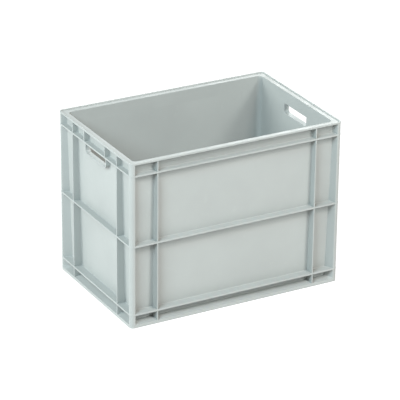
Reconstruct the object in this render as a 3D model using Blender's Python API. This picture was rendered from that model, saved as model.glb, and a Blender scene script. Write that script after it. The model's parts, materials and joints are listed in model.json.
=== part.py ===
"""Stacking crate, 600 x 400 mm Euro footprint, one grey polypropylene moulding.

Metres, +Z up, origin at the middle of the footprint on the ground, +X along
the long side, -Y the front long side, -X the left end. The moulding is split
into its named regions, CLEARANCE apart where they meet. Plan points are kept
as (a, b): distance from the end plane, distance from the side plane.
"""
import math

import bmesh
import bpy

# overall size
LENGTH = 0.600
WIDTH = 0.400
HEIGHT = 0.445

# shell
WALL = 0.0026
SIDE_SET_IN = 0.0160        # outer wall face behind the edge of the rim, long sides
END_SET_IN = 0.0145         # the same on the ends
SIDE_DRAFT = 0.0180         # inward lean per unit of depth, long sides
END_DRAFT = 0.0195
INNER_RADIUS = 0.012
CLEARANCE = 0.0003

# horizontal flanges
FLANGE = 0.0045             # thickness of the second, middle and base flange
CORNER_RADIUS = 0.010
RIM_EDGE = 0.0050           # height of the edge of the rim
RIM_LIP = 0.0030            # width of the raised outer lip
RIM_LIP_RISE = 0.0028       # lip above the ledge inside it
BAND = 0.0372               # top of the rim down to the underside of the second flange
MID_FLANGE_Z = 0.2194       # underside of the middle flange
BASE_FLANGE_Z = 0.0336      # underside of the base flange

# foot
FOOT_SET_IN = 0.0005
FOOT_LIP = 0.0080
FOOT_SLOPE = 0.0050
FOOT_WALL = 0.0030
FLOOR = 0.0030
FLOOR_Z = 0.0040

# vertical ribs and corner beads
RIB = 0.0035
RIB_TAPER = 0.0002          # each flank of a short rib leans out by this much
RIB_SET_IN = 0.0004
SIDE_RIB_FROM_CORNER = 0.0750
END_RIB_FROM_CORNER = 0.0780
BEAD_SET_IN = 0.0005        # bead face behind the edge of the flanges
BEAD_FLAT = 0.0025          # flat of the bead past its round nose
BEAD_SPREAD = 0.0015        # flank meets the wall this far past the wall's own corner

# hand slots
SLOT_LENGTH = 0.1100
SLOT_HEIGHT = 0.0263
SLOT_RADIUS = 0.0080
COLLAR = 0.0035
COLLAR_SET_IN = 0.0040      # collar edge behind the edge of the flanges

# mesh resolution
ARC_STEPS = 8
SLOT_STEPS = 8

RIM_UNDER_Z = HEIGHT - RIM_EDGE
LEDGE_Z = HEIGHT - RIM_LIP_RISE
BAND_Z = HEIGHT - BAND
BAND_FLANGE_Z = BAND_Z + FLANGE
MID_TOP_Z = MID_FLANGE_Z + FLANGE
BASE_TOP_Z = BASE_FLANGE_Z + FLANGE
FOOT_TOP_Z = FOOT_LIP + FOOT_SLOPE
WALL_LOW_Z = BASE_TOP_Z + CLEARANCE
WALL_HIGH_Z = BAND_Z - CLEARANCE
SLOT_LOW_Z = BAND_Z - SLOT_HEIGHT
BEAD_RADIUS = CORNER_RADIUS - BEAD_SET_IN
BEAD_FACE = CORNER_RADIUS + BEAD_FLAT
SLOT_RIB_FROM_CORNER = WIDTH / 2 - SLOT_LENGTH / 2 - COLLAR / 2


def clear_scene():
    for item in list(bpy.data.objects):
        bpy.data.objects.remove(item, do_unlink=True)


def plastic(name, colour, roughness):
    material = bpy.data.materials.new(name)
    material.use_nodes = True
    shader = material.node_tree.nodes["Principled BSDF"]
    shader.inputs["Base Color"].default_value = (*colour, 1.0)
    shader.inputs["Roughness"].default_value = roughness
    shader.inputs["Metallic"].default_value = 0.0
    material.diffuse_color = (*colour, 1.0)
    return material


def side_face(z):
    """Distance of the outer wall face from the edge plane on the long sides."""
    return SIDE_SET_IN + (RIM_UNDER_Z - z) * SIDE_DRAFT


def end_face(z):
    """The same on the ends."""
    return END_SET_IN + (RIM_UNDER_Z - z) * END_DRAFT


def arc(centre_x, centre_y, radius, start, steps):
    """Quarter arc, counter-clockwise from the start angle."""
    points = []
    for step in range(steps + 1):
        angle = start + math.pi / 2 * step / steps
        points.append((centre_x + radius * math.cos(angle), centre_y + radius * math.sin(angle)))
    return points


def corner_arc(set_in_a, set_in_b, radius, steps):
    """Arc of a rounded corner, from the side plane round to the end plane."""
    points = arc(set_in_a + radius, set_in_b + radius, radius, math.pi, steps)
    return list(reversed(points))


def rib_edges(distance):
    """Stations of one short rib: wall, edge, edge, wall."""
    half = RIB / 2
    foot = half + RIB_TAPER
    return (distance + foot, distance + half, distance - half, distance - foot)


def bead_root(z):
    """Where the flanks of the bead meet the wall, on the side and on the end."""
    spread = WALL / 2 + BEAD_SPREAD
    return end_face(z) + spread, side_face(z) + spread


def edge_line(z, set_in, side_ribs, end_ribs):
    """Corner quarter of a flange edge or a lip."""
    root_a, root_b = bead_root(z)
    line = [(a, set_in) for rib in side_ribs for a in rib_edges(rib)]
    line += [(root_a, set_in), (BEAD_FACE, set_in)]
    line += corner_arc(set_in, set_in, CORNER_RADIUS - set_in, ARC_STEPS)
    line += [(set_in, BEAD_FACE), (set_in, root_b)]
    return line + [(set_in, b) for rib in reversed(end_ribs) for b in reversed(rib_edges(rib))]


def wall_line(z, side_ribs, end_ribs):
    """Corner quarter of the outer wall face with its ribs and bead."""
    root_a, root_b = bead_root(z)
    face_a = end_face(z)
    face_b = side_face(z)
    line = []
    for rib in side_ribs:
        depths = (face_b, RIB_SET_IN, RIB_SET_IN, face_b)
        line += list(zip(rib_edges(rib), depths))
    line += [(root_a, face_b), (BEAD_FACE, BEAD_SET_IN)]
    line += corner_arc(BEAD_SET_IN, BEAD_SET_IN, BEAD_RADIUS, ARC_STEPS)
    line += [(BEAD_SET_IN, BEAD_FACE), (face_a, root_b)]
    for rib in reversed(end_ribs):
        depths = (face_a, RIB_SET_IN, RIB_SET_IN, face_a)
        line += list(zip(depths, reversed(rib_edges(rib))))
    return line


def inner_line(z, side_ribs, end_ribs, extra=0.0, radius=INNER_RADIUS):
    """Corner quarter of the inner wall face, or of a face parallel to it."""
    in_a = end_face(z) + WALL + extra
    in_b = side_face(z) + WALL + extra
    line = [(a, in_b) for rib in side_ribs for a in rib_edges(rib)]
    line += corner_arc(in_a, in_b, radius, ARC_STEPS + 4)
    return line + [(in_a, b) for rib in reversed(end_ribs) for b in reversed(rib_edges(rib))]


def world(a, b, sx, sy, z):
    return (sx * (LENGTH / 2 - a), sy * (WIDTH / 2 - b), z)


def all_round(line, z):
    """Repeat a corner quarter at all four corners as one closed loop."""
    loop = []
    for sx, sy, flip in ((1, -1, False), (1, 1, True), (-1, 1, False), (-1, -1, True)):
        points = [world(a, b, sx, sy, z) for a, b in line]
        loop += list(reversed(points)) if flip else points
    return loop


def make_object(name, bm, material):
    bmesh.ops.recalc_face_normals(bm, faces=bm.faces)
    mesh = bpy.data.meshes.new(name)
    bm.to_mesh(mesh)
    bm.free()
    if material:
        mesh.materials.append(material)
    item = bpy.data.objects.new(name, mesh)
    bpy.context.collection.objects.link(item)
    return item


def bridge(bm, low, high, closed):
    """Quads between two rows of vertices."""
    count = len(low)
    for i in range(count if closed else count - 1):
        j = (i + 1) % count
        bm.faces.new((low[i], low[j], high[j], high[i]))


def ring(name, loops, material):
    """Closed body from a cycle of closed loops."""
    bm = bmesh.new()
    rows = [[bm.verts.new(point) for point in loop] for loop in loops]
    for level, low in enumerate(rows):
        bridge(bm, low, rows[(level + 1) % len(rows)], True)
    return make_object(name, bm, material)


def column(name, loops, material):
    """Closed body through a row of closed loops, capped at both ends."""
    bm = bmesh.new()
    rows = [[bm.verts.new(point) for point in loop] for loop in loops]
    for low, high in zip(rows, rows[1:]):
        bridge(bm, low, high, True)
    bm.faces.new(list(reversed(rows[0])))
    bm.faces.new(rows[-1])
    return make_object(name, bm, material)


def loft(name, low, high, material=None):
    """Solid between two polygons with the same number of points."""
    bm = bmesh.new()
    bottom = [bm.verts.new(point) for point in low]
    top = [bm.verts.new(point) for point in high]
    bm.faces.new(list(reversed(bottom)))
    bm.faces.new(top)
    bridge(bm, bottom, top, True)
    return make_object(name, bm, material)


def cut_away(target, tool):
    """Subtract the tool with an exact boolean and drop it."""
    tool.hide_render = True
    tool.display_type = "WIRE"
    modifier = target.modifiers.new("notch", "BOOLEAN")
    modifier.operation = "DIFFERENCE"
    modifier.solver = "EXACT"
    modifier.object = tool
    bpy.context.view_layer.update()
    graph = bpy.context.evaluated_depsgraph_get()
    mesh = bpy.data.meshes.new_from_object(target.evaluated_get(graph))
    target.modifiers.clear()
    target.data = mesh
    bpy.data.objects.remove(tool, do_unlink=True)


def shade(item):
    """Smooth the rounded faces, keep the flats crisp."""
    item.data.shade_smooth()
    item.data.set_sharp_from_angle(angle=math.radians(20))


def top_rim(material):
    """Rim with its raised lip, the ribbed band below it and the second flange."""
    side = (SIDE_RIB_FROM_CORNER,)
    ends = (SLOT_RIB_FROM_CORNER, END_RIB_FROM_CORNER)
    lines = [
        (edge_line(HEIGHT, 0.0, side, ends), HEIGHT),
        (edge_line(RIM_UNDER_Z, 0.0, side, ends), RIM_UNDER_Z),
        (wall_line(RIM_UNDER_Z, side, ends), RIM_UNDER_Z),
        (wall_line(BAND_FLANGE_Z, side, ends), BAND_FLANGE_Z),
        (edge_line(BAND_FLANGE_Z, 0.0, side, ends), BAND_FLANGE_Z),
        (edge_line(BAND_Z, 0.0, side, ends), BAND_Z),
        (inner_line(BAND_Z, side, ends), BAND_Z),
        (inner_line(LEDGE_Z, side, ends), LEDGE_Z),
        (edge_line(LEDGE_Z, RIM_LIP, side, ends), LEDGE_Z),
        (edge_line(HEIGHT, RIM_LIP, side, ends), HEIGHT),
    ]
    shade(ring("top_rim", [all_round(line, z) for line, z in lines], material))


def base_frame(material):
    """Base flange, ribbed foot wall, lip and inner leg the crate stands on."""
    side = (SIDE_RIB_FROM_CORNER,)
    ends = (END_RIB_FROM_CORNER,)
    lip_inner = FOOT_SET_IN + FOOT_WALL
    leg = -WALL - BEAD_SPREAD
    lines = [
        (edge_line(FOOT_TOP_Z, FOOT_SET_IN, side, ends), 0.0),
        (edge_line(FOOT_TOP_Z, FOOT_SET_IN, side, ends), FOOT_LIP),
        (wall_line(FOOT_TOP_Z, side, ends), FOOT_TOP_Z),
        (wall_line(BASE_FLANGE_Z, side, ends), BASE_FLANGE_Z),
        (edge_line(BASE_FLANGE_Z, 0.0, side, ends), BASE_FLANGE_Z),
        (edge_line(BASE_TOP_Z, 0.0, side, ends), BASE_TOP_Z),
        (inner_line(BASE_TOP_Z, side, ends), BASE_TOP_Z),
        (inner_line(0.0, side, ends), 0.0),
        (inner_line(0.0, side, ends, leg), 0.0),
        (inner_line(0.0, side, ends, leg), FOOT_TOP_Z - FOOT_WALL),
        (edge_line(FOOT_TOP_Z, lip_inner, side, ends), FOOT_LIP - FOOT_WALL),
        (edge_line(FOOT_TOP_Z, lip_inner, side, ends), 0.0),
    ]
    shade(ring("base_frame", [all_round(line, z) for line, z in lines], material))


def floor_plate(material):
    line = inner_line(0.0, (), (), CLEARANCE)
    low = all_round(line, FLOOR_Z)
    high = all_round(line, FLOOR_Z + FLOOR)
    shade(loft("floor_plate", low, high, material))


def wall_section(face, front, flange_front=0.0):
    """Cross-section of the shell or a rib as (distance from the edge plane, z)."""
    return [
        (front(WALL_LOW_Z), WALL_LOW_Z),
        (front(MID_FLANGE_Z), MID_FLANGE_Z),
        (flange_front, MID_FLANGE_Z),
        (flange_front, MID_TOP_Z),
        (front(MID_TOP_Z), MID_TOP_Z),
        (front(WALL_HIGH_Z), WALL_HIGH_Z),
        (face(WALL_HIGH_Z) + WALL, WALL_HIGH_Z),
        (face(WALL_LOW_Z) + WALL, WALL_LOW_Z),
    ]


def rib_front(z):
    return RIB_SET_IN


def along_side(name, sy, low_x, high_x, section, material):
    """Section drawn out along a long side."""
    low = [(low_x, sy * (WIDTH / 2 - d), z) for d, z in section]
    high = [(high_x, sy * (WIDTH / 2 - d), z) for d, z in section]
    return loft(name, low, high, material)


def along_end(name, sx, low_y, high_y, section, material):
    """Section drawn out along an end."""
    low = [(sx * (LENGTH / 2 - d), low_y, z) for d, z in section]
    high = [(sx * (LENGTH / 2 - d), high_y, z) for d, z in section]
    return loft(name, low, high, material)


def side_panel(name, sy, material):
    half = LENGTH / 2 - SIDE_RIB_FROM_CORNER - RIB / 2 - CLEARANCE
    shade(along_side(name, sy, -half, half, wall_section(side_face, side_face), material))


def u_section(half, bottom_z, top_z, radius):
    """U outline as (y, z), open end up, from the top left round to the top right."""
    low_z = bottom_z + radius
    left = arc(-half + radius, low_z, radius, math.pi, SLOT_STEPS)
    right = arc(half - radius, low_z, radius, 1.5 * math.pi, SLOT_STEPS)
    return [(-half, top_z)] + left + right + [(half, top_z)]


def end_panel(name, sx, material):
    """End wall with a notch the handle collar sits in."""
    half = WIDTH / 2 - END_RIB_FROM_CORNER - RIB / 2 - CLEARANCE
    item = along_end(name, sx, -half, half, wall_section(end_face, end_face), material)
    grow = COLLAR + CLEARANCE
    notch = u_section(SLOT_LENGTH / 2 + grow, SLOT_LOW_Z - grow, HEIGHT, SLOT_RADIUS + grow)
    low = [(sx * LENGTH / 4, y, z) for y, z in notch]
    high = [(sx * LENGTH, y, z) for y, z in notch]
    cut_away(item, loft("notch", low, high))
    shade(item)


def handle_collar(name, sx, material):
    """U-shaped collar round the sides and bottom of a hand slot."""
    half = SLOT_LENGTH / 2
    inner = u_section(half, SLOT_LOW_Z, WALL_HIGH_Z, SLOT_RADIUS)
    outer = u_section(half + COLLAR, SLOT_LOW_Z - COLLAR, WALL_HIGH_Z, SLOT_RADIUS + COLLAR)
    outside = []
    inside = []
    for y, z in outer + list(reversed(inner)):
        outside.append((sx * (LENGTH / 2 - COLLAR_SET_IN), y, z))
        inside.append((sx * (LENGTH / 2 - end_face(z) - WALL), y, z))
    bm = bmesh.new()
    rows = [[bm.verts.new(point) for point in line] for line in (outside, inside)]
    bridge(bm, rows[0], rows[1], True)
    count = len(inner)
    for row in rows:
        bridge(bm, row[:count], list(reversed(row[count:])), False)
    shade(make_object(name, bm, material))


def corner_post(name, sx, sy, material):
    """Corner of the shell between two ribs, with its bead and flange corner."""
    near_side = SIDE_RIB_FROM_CORNER - RIB / 2 - CLEARANCE
    near_end = END_RIB_FROM_CORNER - RIB / 2 - CLEARANCE

    def level(line, z, inner_z):
        outside = [(near_side, line[0][1])] + line + [(line[-1][0], near_end)]
        inside = inner_line(inner_z, (), ())
        inside = [(near_side, inside[0][1])] + inside + [(inside[-1][0], near_end)]
        loop = [world(a, b, sx, sy, z) for a, b in outside]
        return loop + [world(a, b, sx, sy, inner_z) for a, b in reversed(inside)]

    loops = [
        level(wall_line(WALL_LOW_Z, (), ()), WALL_LOW_Z, WALL_LOW_Z),
        level(wall_line(MID_FLANGE_Z, (), ()), MID_FLANGE_Z, MID_FLANGE_Z),
        level(edge_line(MID_FLANGE_Z, 0.0, (), ()), MID_FLANGE_Z, MID_FLANGE_Z + FLANGE / 4),
        level(edge_line(MID_TOP_Z, 0.0, (), ()), MID_TOP_Z, MID_TOP_Z - FLANGE / 4),
        level(wall_line(MID_TOP_Z, (), ()), MID_TOP_Z, MID_TOP_Z),
        level(wall_line(WALL_HIGH_Z, (), ()), WALL_HIGH_Z, WALL_HIGH_Z),
    ]
    shade(column(name, loops, material))


def wall_ribs(material):
    """Full-height ribs, two beside each corner."""
    side = wall_section(side_face, rib_front)
    end = wall_section(end_face, rib_front)
    for label, sy in (("front", -1), ("rear", 1)):
        for word, sx in (("_rib_left", -1), ("_rib_right", 1)):
            x = sx * (LENGTH / 2 - SIDE_RIB_FROM_CORNER)
            along_side(label + word, sy, x - RIB / 2, x + RIB / 2, side, material)
    for label, sx in (("left_end", -1), ("right_end", 1)):
        for word, sy in (("_rib_front", -1), ("_rib_rear", 1)):
            y = sy * (WIDTH / 2 - END_RIB_FROM_CORNER)
            along_end(label + word, sx, y - RIB / 2, y + RIB / 2, end, material)


def build():
    clear_scene()
    top_rim(plastic("grey_polypropylene", (0.52, 0.57, 0.56), 0.50))
    base_frame(plastic("grey_polypropylene_foot", (0.51, 0.56, 0.55), 0.52))
    floor_plate(plastic("grey_polypropylene_floor", (0.50, 0.55, 0.54), 0.55))
    walls = plastic("grey_polypropylene_wall", (0.52, 0.57, 0.56), 0.48)
    side_panel("front_wall", -1, walls)
    side_panel("rear_wall", 1, walls)
    end_panel("left_end_wall", -1, walls)
    end_panel("right_end_wall", 1, walls)
    posts = plastic("grey_polypropylene_corner", (0.53, 0.58, 0.57), 0.50)
    for label, sx, sy in (
        ("front_left", -1, -1),
        ("front_right", 1, -1),
        ("rear_right", 1, 1),
        ("rear_left", -1, 1),
    ):
        corner_post("corner_post_" + label, sx, sy, posts)
    wall_ribs(plastic("grey_polypropylene_rib", (0.53, 0.58, 0.57), 0.50))
    collars = plastic("grey_polypropylene_collar", (0.53, 0.58, 0.57), 0.50)
    handle_collar("handle_collar_left", -1, collars)
    handle_collar("handle_collar_right", 1, collars)


build()
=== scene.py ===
import json
import math

import bmesh
import bpy
from mathutils import Matrix, Vector

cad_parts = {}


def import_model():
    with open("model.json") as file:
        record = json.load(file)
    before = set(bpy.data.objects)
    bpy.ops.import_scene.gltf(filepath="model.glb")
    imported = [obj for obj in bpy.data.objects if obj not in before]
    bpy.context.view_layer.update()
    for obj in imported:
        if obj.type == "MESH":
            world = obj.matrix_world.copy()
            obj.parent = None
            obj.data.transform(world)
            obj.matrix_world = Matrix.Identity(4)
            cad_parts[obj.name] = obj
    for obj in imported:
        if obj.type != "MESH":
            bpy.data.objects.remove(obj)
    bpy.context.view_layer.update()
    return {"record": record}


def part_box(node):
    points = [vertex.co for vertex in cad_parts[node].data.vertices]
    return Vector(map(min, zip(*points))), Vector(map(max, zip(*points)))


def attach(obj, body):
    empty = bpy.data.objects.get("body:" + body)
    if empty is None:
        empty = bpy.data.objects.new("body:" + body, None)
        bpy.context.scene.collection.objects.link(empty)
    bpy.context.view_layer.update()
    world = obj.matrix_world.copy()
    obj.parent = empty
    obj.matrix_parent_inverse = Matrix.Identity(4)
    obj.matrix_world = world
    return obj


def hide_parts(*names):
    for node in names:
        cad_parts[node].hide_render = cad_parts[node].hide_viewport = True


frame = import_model()

# Sizes in metres. What the frame states is read from it.
TOP_LOW, TOP_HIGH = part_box("top_rim")
COLLAR_LOW, COLLAR_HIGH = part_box("handle_collar_right")
SIDE_RIB_LOW, SIDE_RIB_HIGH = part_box("front_rib_right")
END_RIB_LOW, END_RIB_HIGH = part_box("right_end_rib_rear")
FLOOR_LOW, FLOOR_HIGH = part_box("floor_plate")
HALF_X = TOP_HIGH[0]
HALF_Y = TOP_HIGH[1]
HEIGHT = TOP_HIGH[2]
BAND_Z = TOP_LOW[2]
BASE_TOP_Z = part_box("base_frame")[1][2]
SIDE_RIB_X = (SIDE_RIB_LOW[0] + SIDE_RIB_HIGH[0]) / 2
END_RIB_Y = (END_RIB_LOW[1] + END_RIB_HIGH[1]) / 2
RIB = SIDE_RIB_HIGH[0] - SIDE_RIB_LOW[0]
COLLAR_HALF = COLLAR_HIGH[1]
COLLAR_Z = COLLAR_LOW[2]
COLLAR_OUT = COLLAR_HIGH[0]

# Walls: thickness, distance behind the edge plane, lean per height, inside corner.
WALL = 0.0026
SIDE_SET_IN = 0.0160
END_SET_IN = 0.0145
SIDE_DRAFT = 0.0180
END_DRAFT = 0.0195
INNER_RADIUS = 0.012

# Flanges, rim and foot.
FLANGE = 0.0045
CORNER_RADIUS = 0.010
RIM_EDGE = 0.0050
RIM_LIP = 0.0030
RIM_LIP_RISE = 0.0028
MID_FLANGE_Z = 0.2194
FOOT_SET_IN = 0.0005
FOOT_LIP = 0.0080
FOOT_SLOPE = 0.0050
FOOT_WALL = 0.0030

# Ribs, corner beads and handle collars.
RIB_TAPER = 0.0002
RIB_SET_IN = 0.0004
BEAD_SET_IN = 0.0005
BEAD_FLAT = 0.0025
BEAD_SPREAD = 0.0015
COLLAR = 0.0035
SLOT_RADIUS = 0.0080

# Soft edges and how finely they are stepped.
EDGE_RADIUS = 0.0007        # rounding of every moulded edge
FILLET = 0.0012             # where a rib or a flange meets the wall
BEAD_EDGE = 0.0009          # corner bead into its flank
COVE = 0.0030               # floor into wall
EDGE_STEPS = 4
ARC_STEPS = 16
LEG_SHARE = 0.45            # a soft corner takes at most this share of either leg
FLARE_SHARE = 0.5           # a wall flares at most this share of the way to the edge
FLARE_MIDDLE = 0.3          # share of a fillet for the point between its two ends
SEAM_OFFSET = 0.0016        # pieces part this far outside a rib, past its fillet
SHARP_ANGLE = math.radians(50)
NORMAL_WEIGHT = 100

# Heights and positions that follow from the sizes above.
RIM_UNDER_Z = HEIGHT - RIM_EDGE
LEDGE_Z = HEIGHT - RIM_LIP_RISE
BAND_FLANGE_Z = BAND_Z + FLANGE
MID_TOP_Z = MID_FLANGE_Z + FLANGE
BASE_FLANGE_Z = BASE_TOP_Z - FLANGE
FOOT_TOP_Z = FOOT_LIP + FOOT_SLOPE
BEAD_RADIUS = CORNER_RADIUS - BEAD_SET_IN
BEAD_FACE = CORNER_RADIUS + BEAD_FLAT
SIDE_RIB_A = HALF_X - SIDE_RIB_X
END_RIB_B = HALF_Y - END_RIB_Y
SLOT_RIB_B = HALF_Y - COLLAR_HALF + COLLAR / 2
RIB_HALF_SEAM = RIB / 2 + SEAM_OFFSET

# Plastic. A pattern is (noise scale, detail) or (scale, detail, roughness).
GREY = (0.312, 0.333, 0.319)
CLOUD = (7.0, 3.0)          # uneven pigment
RUB = (38.0, 6.0, 0.72)     # pale rub marks
SHEEN = (22.0, 4.0)         # satin that varies
GRAIN = (1400.0, 2.0)       # fine mould texture
WAVES = (9.0, 1.0)          # slow unevenness of the walls
SPREAD = (0.30, 0.70)       # part of a noise that carries most of its range
RUB_SPREAD = (0.60, 0.76)
RUB_MOST = 0.35
DARK_PIGMENT = 0.955
PALE_PIGMENT = 1.035
WORN_GAIN = 1.10
WORN_LIFT = 0.02
ROUGHNESS = (0.40, 0.54)
GRAIN_STRENGTH = 0.10
GRAIN_DEPTH = 0.0004
WAVE_STRENGTH = 0.12
WAVE_DEPTH = 0.004
REFRACTION = 1.49
SPECULAR = 0.42
SEED_STEP = (0.37, 0.73, 0.19)

# Studio floor.
FLOOR_HALF = 8.0
FLOOR_THICK = 0.02
FLOOR_GLOW = 1.0            # keeps the pale floor white, shadows and all
FLOOR_TONE = (0.10, 0.12)
FLOOR_TONE_SCALE = 0.6
FLOOR_ROUGHNESS = 0.9

# Lamps stand round the middle of the crate; angles in degrees.
SKY_COLOUR = (0.99, 1.0, 1.0, 1.0)
SKY = 0.22
LAMP_DISTANCE = 6.0
LAMPS = (                   # name, azimuth, elevation, size, watts, colour
    ("key_low", 25, 30, 1.2, 168.0, (0.99, 1.0, 0.98)),
    ("key_high", 15, 48, 1.2, 165.0, (1.0, 0.84, 0.79)),
    ("fill_left", -56, 38, 2.4, 425.0, (0.80, 0.93, 1.0)),
    ("side_left", -110, 20, 2.4, 296.0, (0.97, 0.985, 0.98)),
    ("rear_right", 140, 28, 2.4, 170.0, (0.96, 1.0, 1.0)),
)

# Camera: fitted bearing and elevation, from the middle of the crate.
CAMERA_AZIMUTH = math.radians(-28.996)
CAMERA_ELEVATION = math.radians(23.981)
CAMERA_ROLL = math.radians(0.588)
CAMERA_DISTANCE = 6.3244
CAMERA_TARGET = Vector((0.0029, 0.0, 0.2111))
CAMERA_LENS = 221.5
CAMERA_SENSOR = 36.0
CAMERA_REACH = 100.0


# ---------------------------------------------------------------- geometry
# Plan points are (a, b): distance from the end plane, distance from the side
# plane. A plan line is a list of (kind, point, radius) along one corner
# quarter, from the long side round to the end.

def side_face(z):
    """Depth of the outer wall face behind the edge plane, long sides."""
    return SIDE_SET_IN + (RIM_UNDER_Z - z) * SIDE_DRAFT


def end_face(z):
    """The same, short sides."""
    return END_SET_IN + (RIM_UNDER_Z - z) * END_DRAFT


def arc(centre_x, centre_y, radius, start, steps=ARC_STEPS):
    points = []
    for step in range(steps + 1):
        angle = start + math.pi / 2 * step / steps
        points.append((centre_x + radius * math.cos(angle), centre_y + radius * math.sin(angle)))
    return points


def corner_arc(set_in_a, set_in_b, radius, steps=ARC_STEPS):
    """Arc of a rounded corner, from the side plane round to the end plane."""
    return list(reversed(arc(set_in_a + radius, set_in_b + radius, radius, math.pi, steps)))


def rounded(before, corner, after, radius):
    """Points of a soft corner that leaves both legs tangentially."""
    here = Vector(corner)
    legs = (Vector(before) - here, Vector(after) - here)
    reach = min([radius] + [leg.length * LEG_SHARE for leg in legs])
    first, last = (here + leg.normalized() * reach for leg in legs)
    points = []
    for step in range(EDGE_STEPS + 1):
        t = step / EDGE_STEPS
        points.append(first * (1 - t) ** 2 + here * 2 * t * (1 - t) + last * t ** 2)
    return points


def soft_line(stations):
    """Round the corners of an open plan line; each new point keeps its kind."""
    line = []
    for i, (kind, point, radius) in enumerate(stations):
        if radius:
            soft = rounded(stations[i - 1][1], point, stations[i + 1][1], radius)
            line += [(kind, tuple(p)) for p in soft]
        else:
            line.append((kind, point))
    return line


def rib_run(centre, face):
    """Stations across one rib as (along, depth, radius)."""
    half = RIB / 2
    return [
        (centre + half, face, FILLET),
        (centre + half - RIB_TAPER, RIB_SET_IN, EDGE_RADIUS),
        (centre - half + RIB_TAPER, RIB_SET_IN, EDGE_RADIUS),
        (centre - half, face, FILLET),
    ]


def on_side(run):
    return [("side", (along, depth), radius) for along, depth, radius in run]


def on_end(run):
    return [("end", (depth, along), radius) for along, depth, radius in reversed(run)]


def corner_run(z):
    """Wall, bead flank, round nose, bead flank, wall."""
    spread = WALL / 2 + BEAD_SPREAD
    nose = corner_arc(BEAD_SET_IN, BEAD_SET_IN, BEAD_RADIUS)
    run = [("corner_side", (end_face(z) + spread, side_face(z)), FILLET)]
    run += [("corner_side", (BEAD_FACE, BEAD_SET_IN), BEAD_EDGE)]
    run += [(step, point, 0.0) for step, point in enumerate(nose)]
    run += [("corner_end", (BEAD_SET_IN, BEAD_FACE), BEAD_EDGE)]
    return run + [("corner_end", (end_face(z), side_face(z) + spread), FILLET)]


def quarter(z, side_ribs=(), end_ribs=(), near_side=None, near_end=None):
    """Soft plan line of the outer wall face round one corner."""
    face_a = end_face(z)
    face_b = side_face(z)
    start = near_side or HALF_X
    stop = near_end or HALF_Y
    stations = [("side", (start, face_b), 0.0)]
    for rib in side_ribs:
        stations += on_side(rib_run(rib, face_b))
    stations += corner_run(z)
    for rib in reversed(end_ribs):
        stations += on_end(rib_run(rib, face_a))
    return soft_line(stations + [("end", (face_a, stop), 0.0)])


def edge_line(line, set_in=0.0):
    """The same stations out on the edge of a flange."""
    nose = corner_arc(set_in, set_in, CORNER_RADIUS - set_in)
    moved = []
    for kind, (a, b) in line:
        if isinstance(kind, int):
            moved.append(nose[kind])
        elif kind.endswith("side"):
            moved.append((a, set_in))
        else:
            moved.append((set_in, b))
    return moved


def wall_line(line, flare=0.0):
    """The stations themselves, drawn towards the edge by a flare."""
    drawn = []
    for (_, point), rim in zip(line, edge_line(line)):
        here = Vector(point)
        out = Vector(rim) - here
        share = min(flare / out.length, FLARE_SHARE) if flare else 0.0
        drawn.append(tuple(here + out * share))
    return drawn


def inner_line(line, z, extra=0.0):
    """The stations on the inner wall face."""
    in_a = end_face(z) + WALL + extra
    in_b = side_face(z) + WALL + extra
    sides = [(a, in_b) for kind, (a, _) in line if kind == "side"]
    ends = [(in_a, b) for kind, (_, b) in line if kind == "end"]
    steps = len(line) - len(sides) - len(ends) - 1
    return sides + corner_arc(in_a, in_b, INNER_RADIUS - extra, steps) + ends


def world(a, b, sx, sy, z):
    return (sx * (HALF_X - a), sy * (HALF_Y - b), z)


def all_round(line, z):
    """Repeat a corner quarter at all four corners as one closed loop."""
    loop = []
    for sx, sy, flip in ((1, -1, False), (1, 1, True), (-1, 1, False), (-1, -1, True)):
        points = [world(a, b, sx, sy, z) for a, b in line[1:-1]]
        loop += list(reversed(points)) if flip else points
    return loop


def soften(rows):
    """Round a closed cycle of rows given as (points, radius), station by station."""
    soft = []
    for k, (points, radius) in enumerate(rows):
        before = rows[k - 1][0]
        after = rows[(k + 1) % len(rows)][0]
        if not radius:
            soft.append(points)
            continue
        columns = [rounded(*trio, radius) for trio in zip(before, points, after)]
        soft += [list(row) for row in zip(*columns)]
    return soft


def new_object(name, bm):
    bmesh.ops.recalc_face_normals(bm, faces=bm.faces)
    mesh = bpy.data.meshes.new(name)
    bm.to_mesh(mesh)
    bm.free()
    item = bpy.data.objects.new(name, mesh)
    bpy.context.collection.objects.link(item)
    return item


def bridge(bm, low, high, closed):
    """Quads between two rows of vertices."""
    count = len(low)
    for i in range(count if closed else count - 1):
        j = (i + 1) % count
        bm.faces.new((low[i], low[j], high[j], high[i]))


def ring(name, rows):
    """Closed body from a cycle of closed loops."""
    bm = bmesh.new()
    made = [[bm.verts.new(point) for point in loop] for loop in soften(rows)]
    for level, low in enumerate(made):
        bridge(bm, low, made[(level + 1) % len(made)], True)
    return new_object(name, bm)


def strip(name, rows):
    """Closed body from a cycle of open lines, capped at both ends."""
    bm = bmesh.new()
    made = [[bm.verts.new(point) for point in line] for line in soften(rows)]
    for level, low in enumerate(made):
        bridge(bm, low, made[(level + 1) % len(made)], False)
    bm.faces.new([row[0] for row in made])
    bm.faces.new([row[-1] for row in made])
    return new_object(name, bm)


def stack(name, loops):
    """Closed body through a row of loops, capped at both ends."""
    bm = bmesh.new()
    made = [[bm.verts.new(point) for point in loop] for loop in loops]
    for low, high in zip(made, made[1:]):
        bridge(bm, low, high, True)
    bm.faces.new(made[0])
    bm.faces.new(made[-1])
    return new_object(name, bm)


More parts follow.
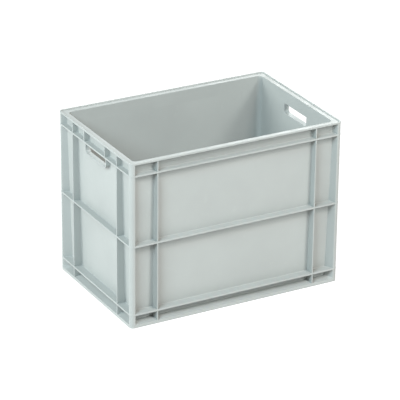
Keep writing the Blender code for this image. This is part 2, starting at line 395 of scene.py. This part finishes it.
def top_rim():
    """Rim with its raised lip, the ribbed band below it and the second flange."""
    sides = (SIDE_RIB_A,)
    ends = (SLOT_RIB_B, END_RIB_B)

    def line(z):
        return quarter(z, sides, ends)

    under = line(RIM_UNDER_Z)
    band = line(BAND_FLANGE_Z)
    ledge = inner_line(under, LEDGE_Z)
    rows = [
        (edge_line(band), BAND_Z, EDGE_RADIUS),
        (edge_line(band), BAND_FLANGE_Z, EDGE_RADIUS),
        (wall_line(band), BAND_FLANGE_Z, FILLET),
        (wall_line(under), RIM_UNDER_Z, FILLET),
        (edge_line(under), RIM_UNDER_Z, EDGE_RADIUS),
        (edge_line(under), HEIGHT, EDGE_RADIUS),
        (edge_line(under, RIM_LIP), HEIGHT, EDGE_RADIUS),
        (edge_line(under, RIM_LIP), LEDGE_Z, EDGE_RADIUS),
        (ledge, LEDGE_Z, EDGE_RADIUS),
        (inner_line(band, BAND_Z), BAND_Z, 0.0),
    ]
    return ring("fine_top_rim", [(all_round(row, z), radius) for row, z, radius in rows])


def base_frame():
    """Base flange, ribbed foot wall, lip and inner leg the crate stands on."""
    lip_inner = FOOT_SET_IN + FOOT_WALL
    leg = -WALL - BEAD_SPREAD

    def line(z):
        return quarter(z, (SIDE_RIB_A,), (END_RIB_B,))

    foot = line(FOOT_TOP_Z)
    low = line(BASE_FLANGE_Z)
    rows = [
        (edge_line(foot, FOOT_SET_IN), 0.0, EDGE_RADIUS),
        (edge_line(foot, FOOT_SET_IN), FOOT_LIP, EDGE_RADIUS),
        (wall_line(foot), FOOT_TOP_Z, FILLET),
        (wall_line(low), BASE_FLANGE_Z, FILLET),
        (edge_line(low), BASE_FLANGE_Z, EDGE_RADIUS),
        (edge_line(low), BASE_TOP_Z, EDGE_RADIUS),
        (inner_line(low, BASE_TOP_Z), BASE_TOP_Z, 0.0),
        (inner_line(foot, 0.0), 0.0, EDGE_RADIUS),
        (inner_line(foot, 0.0, leg), 0.0, EDGE_RADIUS),
        (inner_line(foot, 0.0, leg), FOOT_TOP_Z - FOOT_WALL, EDGE_RADIUS),
        (edge_line(foot, lip_inner), FOOT_LIP - FOOT_WALL, EDGE_RADIUS),
        (edge_line(foot, lip_inner), 0.0, EDGE_RADIUS),
    ]
    return ring("fine_base_frame", [(all_round(row, z), radius) for row, z, radius in rows])


def floor_plate():
    """Floor with a soft cove where it meets the walls."""
    line = quarter(0.0)
    top = FLOOR_HIGH[2]
    levels = [(0.0, FLOOR_LOW[2]), (0.0, top + COVE)]
    for step in range(1, EDGE_STEPS + 1):
        angle = math.pi / 2 * step / EDGE_STEPS
        levels.append((COVE * (1 - math.cos(angle)), top + COVE * (1 - math.sin(angle))))
    loops = [all_round(inner_line(line, 0.0, extra), z) for extra, z in levels]
    return stack("fine_floor_plate", loops)


def corner_post(label, sx, sy):
    """Corner of the shell between two ribs, as a column of closed plan loops."""
    near_side = SIDE_RIB_A - RIB_HALF_SEAM
    near_end = END_RIB_B - RIB_HALF_SEAM

    def line(z):
        return quarter(z, (), (), near_side, near_end)

    def at(z, flare=0.0):
        return wall_line(line(z), flare)

    low = BASE_TOP_Z
    high = BAND_Z
    middle = FILLET * FLARE_MIDDLE
    outside = soften([
        (levelled(at(low, FILLET), low), 0.0),
        (levelled(at(low, middle), low + middle), 0.0),
        (levelled(at(low), low + FILLET), 0.0),
        (levelled(at(MID_FLANGE_Z), MID_FLANGE_Z), FILLET),
        (levelled(edge_line(line(MID_FLANGE_Z)), MID_FLANGE_Z), EDGE_RADIUS),
        (levelled(edge_line(line(MID_TOP_Z)), MID_TOP_Z), EDGE_RADIUS),
        (levelled(at(MID_TOP_Z), MID_TOP_Z), FILLET),
        (levelled(at(high), high - FILLET), 0.0),
        (levelled(at(high, middle), high - middle), 0.0),
        (levelled(at(high, FILLET), high), 0.0),
    ])
    loops = []
    for step, row in enumerate(outside):
        z = inner_level(step / (len(outside) - 1), low, high)
        inside = levelled(inner_line(line(z), z), z)
        points = [world(a, b, sx, sy, z) for a, b, z in row + list(reversed(inside))]
        loops.append(points)
    return stack("fine_corner_post_" + label, loops)


def levelled(line, z):
    """Give each plan point its height."""
    return [(a, b, z) for a, b in line]


def inner_level(share, low, high):
    """Height of the inner row that goes with an outer row; most sit by the middle flange."""
    if share in (0.0, 1.0):
        return low if share == 0.0 else high
    return MID_FLANGE_Z + FLANGE * share


def straight_rows(face, run, place):
    """Rows of a straight stretch; run gives its stations at a level."""
    def line(z):
        return soft_line(on_side(run(face(z))))

    high = BAND_Z
    low = BASE_TOP_Z
    middle = FILLET * FLARE_MIDDLE
    rows = [
        (wall_line(line(low), FILLET), low, 0.0),
        (wall_line(line(low), middle), low + middle, 0.0),
        (wall_line(line(low)), low + FILLET, 0.0),
        (wall_line(line(MID_FLANGE_Z)), MID_FLANGE_Z, FILLET),
        (edge_line(line(MID_FLANGE_Z)), MID_FLANGE_Z, EDGE_RADIUS),
        (edge_line(line(MID_TOP_Z)), MID_TOP_Z, EDGE_RADIUS),
        (wall_line(line(MID_TOP_Z)), MID_TOP_Z, FILLET),
        (wall_line(line(high)), high - FILLET, 0.0),
        (wall_line(line(high), middle), high - middle, 0.0),
        (wall_line(line(high), FILLET), high, 0.0),
        ([(a, face(high) + WALL) for _, (a, _) in line(high)], high, 0.0),
        ([(a, face(low) + WALL) for _, (a, _) in line(low)], low, 0.0),
    ]
    return [([place(along, depth, z) for along, depth in row], radius)
            for row, z, radius in rows]


def on_long_side(sy):
    return lambda along, depth, z: (along, sy * (HALF_Y - depth), z)


def on_short_side(sx):
    return lambda along, depth, z: (sx * (HALF_X - depth), along, z)


def plain_run(half):
    return lambda face: [(-half, face, 0.0), (half, face, 0.0)]


def rib_across(centre):
    """Wall, rib, wall."""
    def run(face):
        stations = list(reversed(rib_run(centre, face)))
        first = (centre - RIB_HALF_SEAM, face, 0.0)
        return [first] + stations + [(centre + RIB_HALF_SEAM, face, 0.0)]
    return run


def u_section(half, bottom_z, top_z, radius):
    """U outline as (y, z), open end up."""
    low_z = bottom_z + radius
    left = arc(-half + radius, low_z, radius, math.pi)
    right = arc(half - radius, low_z, radius, 1.5 * math.pi)
    return [(-half, top_z)] + left + right + [(half, top_z)]


def end_wall(name, sx):
    """End wall with a notch the handle collar sits in."""
    half = HALF_Y - END_RIB_B - RIB_HALF_SEAM
    item = strip(name, straight_rows(end_face, plain_run(half), on_short_side(sx)))
    notch = u_section(COLLAR_HALF, COLLAR_Z, HEIGHT, SLOT_RADIUS + COLLAR)
    reach = (sx * HALF_X / 2, sx * 2 * HALF_X)
    tool = stack("notch", [[(x, y, z) for y, z in notch] for x in reach])
    modifier = item.modifiers.new("notch", "BOOLEAN")
    modifier.operation = "DIFFERENCE"
    modifier.solver = "MANIFOLD"
    modifier.object = tool
    bake_modifiers(item)
    bpy.data.objects.remove(tool, do_unlink=True)
    return item


def handle_collar(name, sx):
    """U-shaped collar round the sides and bottom of a hand slot."""
    outer = u_section(COLLAR_HALF, COLLAR_Z, BAND_Z, SLOT_RADIUS + COLLAR)
    inner = u_section(COLLAR_HALF - COLLAR, COLLAR_Z + COLLAR, BAND_Z, SLOT_RADIUS)
    rows = []
    for section, outside, radius in (
        (outer, False, 0.0),
        (outer, True, EDGE_RADIUS),
        (inner, True, EDGE_RADIUS),
        (inner, False, EDGE_RADIUS),
    ):
        points = []
        for y, z in section:
            depth = HALF_X - COLLAR_OUT if outside else end_face(z) + WALL
            points.append((sx * (HALF_X - depth), y, z))
        rows.append((points, radius))
    return strip(name, rows)


def bake_modifiers(item):
    """Replace the mesh by its evaluated form."""
    bpy.context.view_layer.update()
    graph = bpy.context.evaluated_depsgraph_get()
    mesh = bpy.data.meshes.new_from_object(item.evaluated_get(graph))
    old = item.data
    item.modifiers.clear()
    item.data = mesh
    bpy.data.meshes.remove(old)


def make_pieces():
    pieces = {"top_rim": top_rim(), "base_frame": base_frame(), "floor_plate": floor_plate()}
    long_half = HALF_X - SIDE_RIB_A - RIB_HALF_SEAM
    for label, sy in (("front", -1), ("rear", 1)):
        place = on_long_side(sy)
        rows = straight_rows(side_face, plain_run(long_half), place)
        pieces[label + "_wall"] = strip("fine_" + label + "_wall", rows)
        for word, sx in (("_rib_left", -1), ("_rib_right", 1)):
            rows = straight_rows(side_face, rib_across(sx * (HALF_X - SIDE_RIB_A)), place)
            pieces[label + word] = strip("fine_" + label + word, rows)
    for label, sx in (("left", -1), ("right", 1)):
        wall = label + "_end_wall"
        pieces[wall] = end_wall("fine_" + wall, sx)
        collar = "handle_collar_" + label
        pieces[collar] = handle_collar("fine_" + collar, sx)
        for word, sy in (("_end_rib_front", -1), ("_end_rib_rear", 1)):
            run = rib_across(sy * (HALF_Y - END_RIB_B))
            rows = straight_rows(end_face, run, on_short_side(sx))
            pieces[label + word] = strip("fine_" + label + word, rows)
    for label, sx, sy in (
        ("front_left", -1, -1),
        ("front_right", 1, -1),
        ("rear_right", 1, 1),
        ("rear_left", -1, 1),
    ):
        pieces["corner_post_" + label] = corner_post(label, sx, sy)
    return pieces


def smooth(item):
    """Smooth shading that keeps flats flat: corner normals weighted by face area."""
    item.data.shade_smooth()
    item.data.set_sharp_from_angle(angle=SHARP_ANGLE)
    weighted = item.modifiers.new("flat_normals", "WEIGHTED_NORMAL")
    weighted.keep_sharp = True
    weighted.weight = NORMAL_WEIGHT
    bake_modifiers(item)


# --------------------------------------------------------------- materials

def moulded_plastic(name, colour, seed):
    """Satin grey polypropylene: cloudy pigment, fine grain, soft waviness, rub marks."""
    material = bpy.data.materials.new(name)
    material.use_nodes = True
    nodes = material.node_tree.nodes
    links = material.node_tree.links
    shader = nodes["Principled BSDF"]
    coordinates = nodes.new("ShaderNodeTexCoord")
    shift = nodes.new("ShaderNodeMapping")
    shift.inputs["Location"].default_value = tuple(seed * step for step in SEED_STEP)
    links.new(coordinates.outputs["Object"], shift.inputs["Vector"])

    def noise(scale, detail, roughness=0.5):
        node = nodes.new("ShaderNodeTexNoise")
        node.inputs["Scale"].default_value = scale
        node.inputs["Detail"].default_value = detail
        node.inputs["Roughness"].default_value = roughness
        links.new(shift.outputs["Vector"], node.inputs["Vector"])
        return node.outputs["Fac"]

    def ramp(source, low, high, at_low, at_high):
        node = nodes.new("ShaderNodeMapRange")
        node.inputs["From Min"].default_value = low
        node.inputs["From Max"].default_value = high
        node.inputs["To Min"].default_value = at_low
        node.inputs["To Max"].default_value = at_high
        links.new(source, node.inputs["Value"])
        return node.outputs["Result"]

    def blend(factor, first, second):
        node = nodes.new("ShaderNodeMix")
        node.data_type = "RGBA"
        links.new(factor, node.inputs["Factor"])
        for socket, value in ((node.inputs["A"], first), (node.inputs["B"], second)):
            if isinstance(value, tuple):
                socket.default_value = (*value, 1.0)
            else:
                links.new(value, socket)
        return node.outputs["Result"]

    def bump(pattern, strength, depth):
        node = nodes.new("ShaderNodeBump")
        node.inputs["Strength"].default_value = strength
        node.inputs["Distance"].default_value = depth
        links.new(noise(*pattern), node.inputs["Height"])
        return node

    cloud = ramp(noise(*CLOUD), *SPREAD, 0.0, 1.0)
    dark = tuple(channel * DARK_PIGMENT for channel in colour)
    pale = tuple(min(1.0, channel * PALE_PIGMENT) for channel in colour)
    pigment = blend(cloud, dark, pale)
    rub = ramp(noise(*RUB), *RUB_SPREAD, 0.0, RUB_MOST)
    worn = tuple(min(1.0, channel * WORN_GAIN + WORN_LIFT) for channel in colour)
    links.new(blend(rub, pigment, worn), shader.inputs["Base Color"])
    links.new(ramp(noise(*SHEEN), *SPREAD, *ROUGHNESS), shader.inputs["Roughness"])

    grain = bump(GRAIN, GRAIN_STRENGTH, GRAIN_DEPTH)
    waves = bump(WAVES, WAVE_STRENGTH, WAVE_DEPTH)
    links.new(grain.outputs["Normal"], waves.inputs["Normal"])
    links.new(waves.outputs["Normal"], shader.inputs["Normal"])
    shader.inputs["IOR"].default_value = REFRACTION
    shader.inputs["Specular IOR Level"].default_value = SPECULAR
    return material


def floor_material():
    """Pale sweep lit from behind, as white studio acrylic is."""
    material = bpy.data.materials.new("pale_floor")
    material.use_nodes = True
    nodes = material.node_tree.nodes
    shader = nodes["Principled BSDF"]
    tone = nodes.new("ShaderNodeTexNoise")
    tone.inputs["Scale"].default_value = FLOOR_TONE_SCALE
    band = nodes.new("ShaderNodeMapRange")
    band.inputs["To Min"].default_value = FLOOR_TONE[0]
    band.inputs["To Max"].default_value = FLOOR_TONE[1]
    material.node_tree.links.new(tone.outputs["Fac"], band.inputs["Value"])
    material.node_tree.links.new(band.outputs["Result"], shader.inputs["Base Color"])
    shader.inputs["Roughness"].default_value = FLOOR_ROUGHNESS
    shader.inputs["Specular IOR Level"].default_value = 0.0
    shader.inputs["Emission Color"].default_value = (1.0, 1.0, 1.0, 1.0)
    shader.inputs["Emission Strength"].default_value = FLOOR_GLOW
    return material


# ------------------------------------------------------- floor, light, camera

def make_floor():
    corners = [(x * FLOOR_HALF, y * FLOOR_HALF) for x, y in ((-1, -1), (1, -1), (1, 1), (-1, 1))]
    loops = [[(x, y, z) for x, y in corners] for z in (-FLOOR_THICK, 0.0)]
    item = stack("studio_floor", loops)
    item.data.materials.append(floor_material())


def bearing(azimuth, elevation):
    """Unit vector from the crate; azimuth 0 is the front, positive to the right."""
    return Vector((
        math.sin(azimuth) * math.cos(elevation),
        -math.cos(azimuth) * math.cos(elevation),
        math.sin(elevation),
    ))


def area_light(name, azimuth, elevation, distance, size, power, colour):
    """Square soft box aimed at the middle of the crate."""
    data = bpy.data.lights.new(name, "AREA")
    data.shape = "SQUARE"
    data.size = size
    data.energy = power
    data.color = colour
    lamp = bpy.data.objects.new(name, data)
    away = bearing(azimuth, elevation)
    lamp.location = Vector((0.0, 0.0, HEIGHT / 2)) + away * distance
    lamp.rotation_euler = away.to_track_quat("Z", "Y").to_euler()
    bpy.context.collection.objects.link(lamp)


def make_lights():
    world = bpy.data.worlds.new("studio")
    world.use_nodes = True
    sky = world.node_tree.nodes["Background"]
    sky.inputs["Color"].default_value = SKY_COLOUR
    sky.inputs["Strength"].default_value = SKY
    bpy.context.scene.world = world
    for name, azimuth, elevation, size, power, colour in LAMPS:
        angles = (math.radians(azimuth), math.radians(elevation))
        area_light(name, *angles, LAMP_DISTANCE, size, power, colour)


def make_camera():
    data = bpy.data.cameras.new("camera")
    data.sensor_width = CAMERA_SENSOR
    data.lens = CAMERA_LENS
    data.clip_end = CAMERA_REACH
    camera = bpy.data.objects.new("camera", data)
    back = bearing(CAMERA_AZIMUTH, CAMERA_ELEVATION)
    right = Vector((0.0, 0.0, 1.0)).cross(back).normalized()
    up = back.cross(right)
    turned_right = right * math.cos(CAMERA_ROLL) + up * math.sin(CAMERA_ROLL)
    turned_up = up * math.cos(CAMERA_ROLL) - right * math.sin(CAMERA_ROLL)
    axes = Matrix((turned_right, turned_up, back)).transposed().to_4x4()
    camera.matrix_world = Matrix.Translation(CAMERA_TARGET + back * CAMERA_DISTANCE) @ axes
    bpy.context.collection.objects.link(camera)
    bpy.context.scene.camera = camera


def build():
    make_camera()
    pieces = make_pieces()
    slots = {part["node"]: part["material_slot"] for part in frame["record"]["subparts"]}
    finish = {
        slot: moulded_plastic("moulded_" + slot, GREY, seed)
        for seed, slot in enumerate(sorted(set(slots.values())))
    }
    for node, item in pieces.items():
        smooth(item)
        item.data.materials.clear()
        item.data.materials.append(finish[slots[node]])
        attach(item, "root")
        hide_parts(node)
    make_floor()
    make_lights()
    bpy.context.scene.view_settings.view_transform = "Standard"


build()
